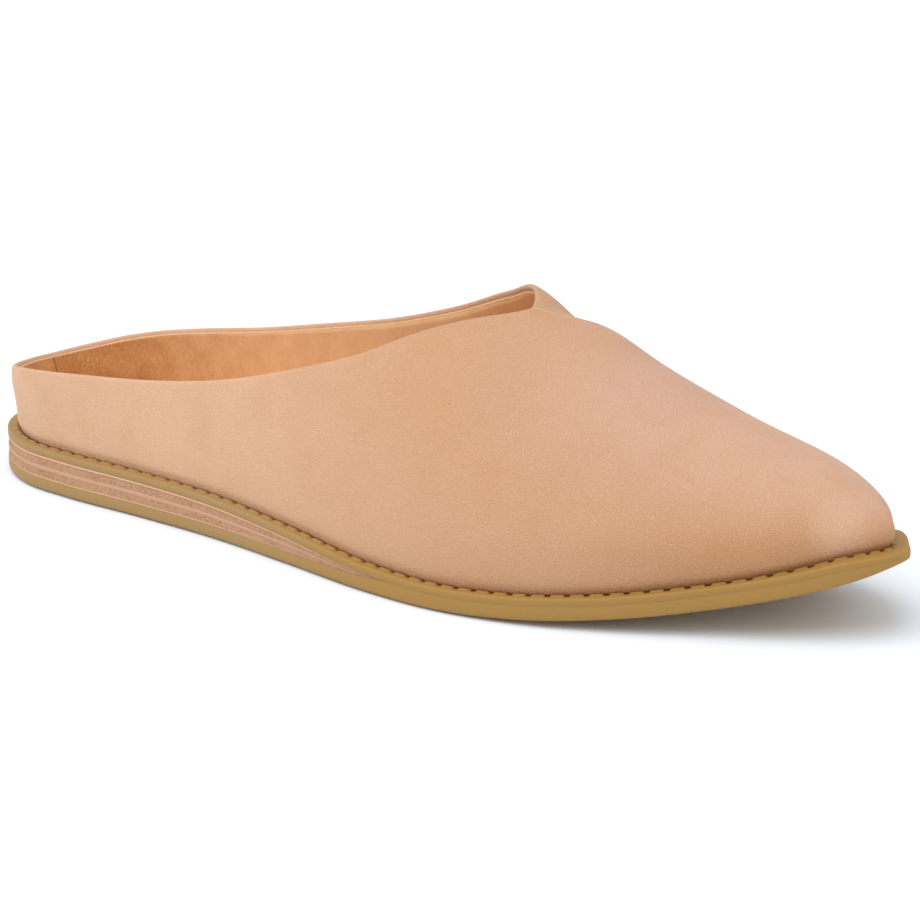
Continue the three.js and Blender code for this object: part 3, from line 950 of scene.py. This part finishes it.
def suede(wire, place, deep, plain, light, front):
    """Matt suede with a short nap: deep at the heel, plain in the middle, and painted shade with warm
    bounce light in front, under the vamp.
    """
    brushed = wire.node("Mapping", {}, {"Vector": place, "Scale": (1, 1, 0.4)})
    nap = noise(wire, brushed, grain_mm=0.45, detail=3, roughness=0.7)
    patch = noise(wire, place, grain_mm=6, detail=3)
    ahead = across_frame(wire, place, 0)
    colour = (patch.between(0.3, 0.7) * 0.25 + ahead.between(*SUEDE_PLAIN) * 0.75).blend(deep, plain)
    # painted shade and warm bounce light under the vamp
    colour = (ahead.between(*UNDER_VAMP_SHADE) * 0.9).blend(colour, front)
    colour = (nap.between(0.45, 0.7) * 0.35).blend(colour, light)
    return {
        "Base Color": colour,
        "Roughness": 0.95,
        "Specular IOR Level": 0.15,
        "Sheen Weight": 0.25,
        "Sheen Roughness": 0.6,
        "Normal": bump(wire, nap, depth_mm=0.16),
    }


def lining_suede(wire, place):
    """The suede with the seam that runs down inside the heel."""
    values = suede(wire, place, SUEDE_DEEP, SUEDE, SUEDE_LIGHT, SUEDE_UNDER_VAMP_SHADE)
    ahead, inward = across_frame(wire, place, 0), across_frame(wire, place, 1)
    far_edge = LINING_SEAM + LINING_SEAM_WIDE
    near = inward.between(LINING_SEAM, LINING_SEAM + LINING_SEAM_EDGE)
    seam = near * (1 - inward.between(far_edge - LINING_SEAM_EDGE, far_edge))
    seam = seam * (1 - ahead.between(*LINING_SEAM_ENDS)) * 0.6
    values["Base Color"] = seam.blend(values["Base Color"], SEAM_DEEP)
    return values


def footbed_suede(wire, place):
    return suede(wire, place, SUEDE, FOOTBED, FOOTBED_LIGHT, SUEDE)


def rubber(wire, place):
    """Satin mustard rubber, greyer at the heel, with painted light between the teeth and under the upper's
    edge, a lighter tone where shade falls.
    """
    cloud = noise(wire, place, grain_mm=14, detail=3)
    fine = noise(wire, place, grain_mm=0.5, detail=2)
    front = across_frame(wire, place, 0).between(*RUBBER_PLAIN)
    colour = front.blend(RUBBER_HEEL, RUBBER)
    colour = (cloud.between(0.4, 0.7) * 0.3).blend(colour, RUBBER_WARM)
    # painted light, a lighter tone between the teeth and under the upper, where shade falls
    colour = mark_of(wire, "groove").between(0.3, 0.9).blend(colour, front.blend(GROOVE_LIGHT_HEEL, GROOVE_LIGHT))
    return {
        "Base Color": colour,
        "Roughness": 0.5 + 0.15 * fine,
        "Specular IOR Level": 0.35,
        "Normal": bump(wire, fine + cloud, depth_mm=0.05),
    }


def stacked_leather(wire, place):
    """The cut edge of stacked leather: flecked rough layers, a smooth one in the middle, pale piping."""
    layer = mark_of(wire, "layer")
    flat = wire.node("Mapping", {}, {"Vector": place, "Scale": (0.7, 0.7, 1.5)})
    fleck = noise(wire, flat, grain_mm=0.6, detail=3, roughness=0.7)
    cloud = noise(wire, flat, grain_mm=5, detail=2)
    middle = layer.between(0.37, 0.42) * (1 - layer.between(0.55, 0.6))
    line = (1 - layer.between(0.04, 0.08)) + layer.between(0.92, 0.96)
    rough = fleck.between(0.34, 0.6).blend(STACK_DEEP, STACK)
    rough = (cloud.between(0.4, 0.65) * 0.4).blend(rough, STACK_PINK)
    colour = (middle * 0.8).blend(rough, STACK_LIGHT)
    colour = (line * 0.9).blend(colour, PIPING)
    return {
        "Base Color": colour,
        "Roughness": 0.72,
        "Specular IOR Level": 0.25,
        "Normal": bump(wire, fleck * (1 - middle) * (1 - line), depth_mm=0.22),
    }


def studio_white(wire, place):
    """The matt floor, a little cool."""
    return {"Base Color": FLOOR_WHITE, "Roughness": 0.9}


# ---- the shoe ----
rubber_finish = finish_of("mustard_rubber", rubber)
suede_finish = finish_of("caramel_suede", lining_suede)
leather_finish = finish_of("tan_leather", leather)
make_upper(leather_finish)
make_seam(leather_finish)
make_lining(suede_finish)
make_footbed(finish_of("footbed_suede", footbed_suede))
make_welt(rubber_finish)
make_outsole(rubber_finish)
make_wedge(finish_of("stacked_leather", stacked_leather))


# ---- floor, light and camera, in metres ----
FLOOR_REACH, FLOOR_DROP, FLOOR_WHITE = 6.0, 0.0002, (0.87, 0.93, 1.0)
MIDDLE = (128, 0, 25)  # what the lights and the camera face, in millimetres on the last
LIGHT_COLOUR, WORLD_LIGHT = (1, 0.99, 0.98), 0.76
LAMP_AWAY, LAMP_WIDE = 1.3, 1.0
CAMERA_AWAY, CAMERA_AZIMUTH, CAMERA_ELEVATION = 0.855, 34.9, 17.3
CAMERA_LENS, CAMERA_SHIFT = 141.9, (0.0257, -0.0234)


def make_floor():
    mesh = bpy.data.meshes.new("floor")
    ends = (-FLOOR_REACH, FLOOR_REACH)
    corners = [(x, y, -FLOOR_DROP) for y in ends for x in ends]
    mesh.from_pydata(corners, [], [(0, 1, 3, 2)])
    mesh.materials.append(finish_of("studio_white", studio_white))
    floor = bpy.data.objects.new("floor", mesh)
    bpy.context.collection.objects.link(floor)


def looking(azimuth, elevation):
    """The direction from the shoe to someone who looks at it from there. Azimuth 0 looks along +Y."""
    a, e = math.radians(azimuth), math.radians(elevation)
    return np.array([math.sin(a) * math.cos(e), -math.cos(a) * math.cos(e), math.sin(e)])


def aim(thing, place, back):
    """Stands a camera or a light at a place, facing against the direction back."""
    side = unit(np.cross([0, 0, 1], back))
    over = np.cross(back, side)
    thing.matrix_world = Matrix([[side[k], over[k], back[k], place[k]] for k in range(3)] + [[0, 0, 0, 1]])


def stand_light(data, azimuth, elevation):
    """Stands a light on that side of the shoe, facing it."""
    data.color = LIGHT_COLOUR
    light = bpy.data.objects.new(data.name, data)
    bpy.context.collection.objects.link(light)
    back = looking(azimuth, elevation)
    aim(light, in_frame(MIDDLE) + back * LAMP_AWAY, back)


def make_lamp(name, azimuth, elevation, power):
    """A wide round lamp."""
    lamp = bpy.data.lights.new(name, "AREA")
    lamp.energy, lamp.shape, lamp.size = power, "DISK", LAMP_WIDE
    stand_light(lamp, azimuth, elevation)


def make_sun(name, azimuth, elevation, power, wide):
    """A soft sun that many degrees across."""
    sun = bpy.data.lights.new(name, "SUN")
    sun.energy, sun.angle = power, math.radians(wide)
    stand_light(sun, azimuth, elevation)


def make_camera():
    data = bpy.data.cameras.new("camera")
    data.lens = CAMERA_LENS
    data.shift_x, data.shift_y = CAMERA_SHIFT
    camera = bpy.data.objects.new("camera", data)
    bpy.context.collection.objects.link(camera)
    back = looking(CAMERA_AZIMUTH, CAMERA_ELEVATION)
    aim(camera, in_frame(MIDDLE) + back * CAMERA_AWAY, back)
    bpy.context.scene.camera = camera


def make_world():
    """An even white light from all round."""
    world = bpy.data.worlds.new("studio")
    world.use_nodes = True
    background = world.node_tree.nodes["Background"].inputs
    background["Color"].default_value = (1, 1, 1, 1)
    background["Strength"].default_value = WORLD_LIGHT
    bpy.context.scene.world = world


make_floor()
make_lamp("key", azimuth=-45, elevation=25, power=2.6)
make_lamp("right", azimuth=95, elevation=30, power=1.5)
make_sun("sky", azimuth=-20, elevation=68, power=1.45, wide=60)
make_camera()
make_world()
bpy.context.scene.view_settings.view_transform = "Standard"
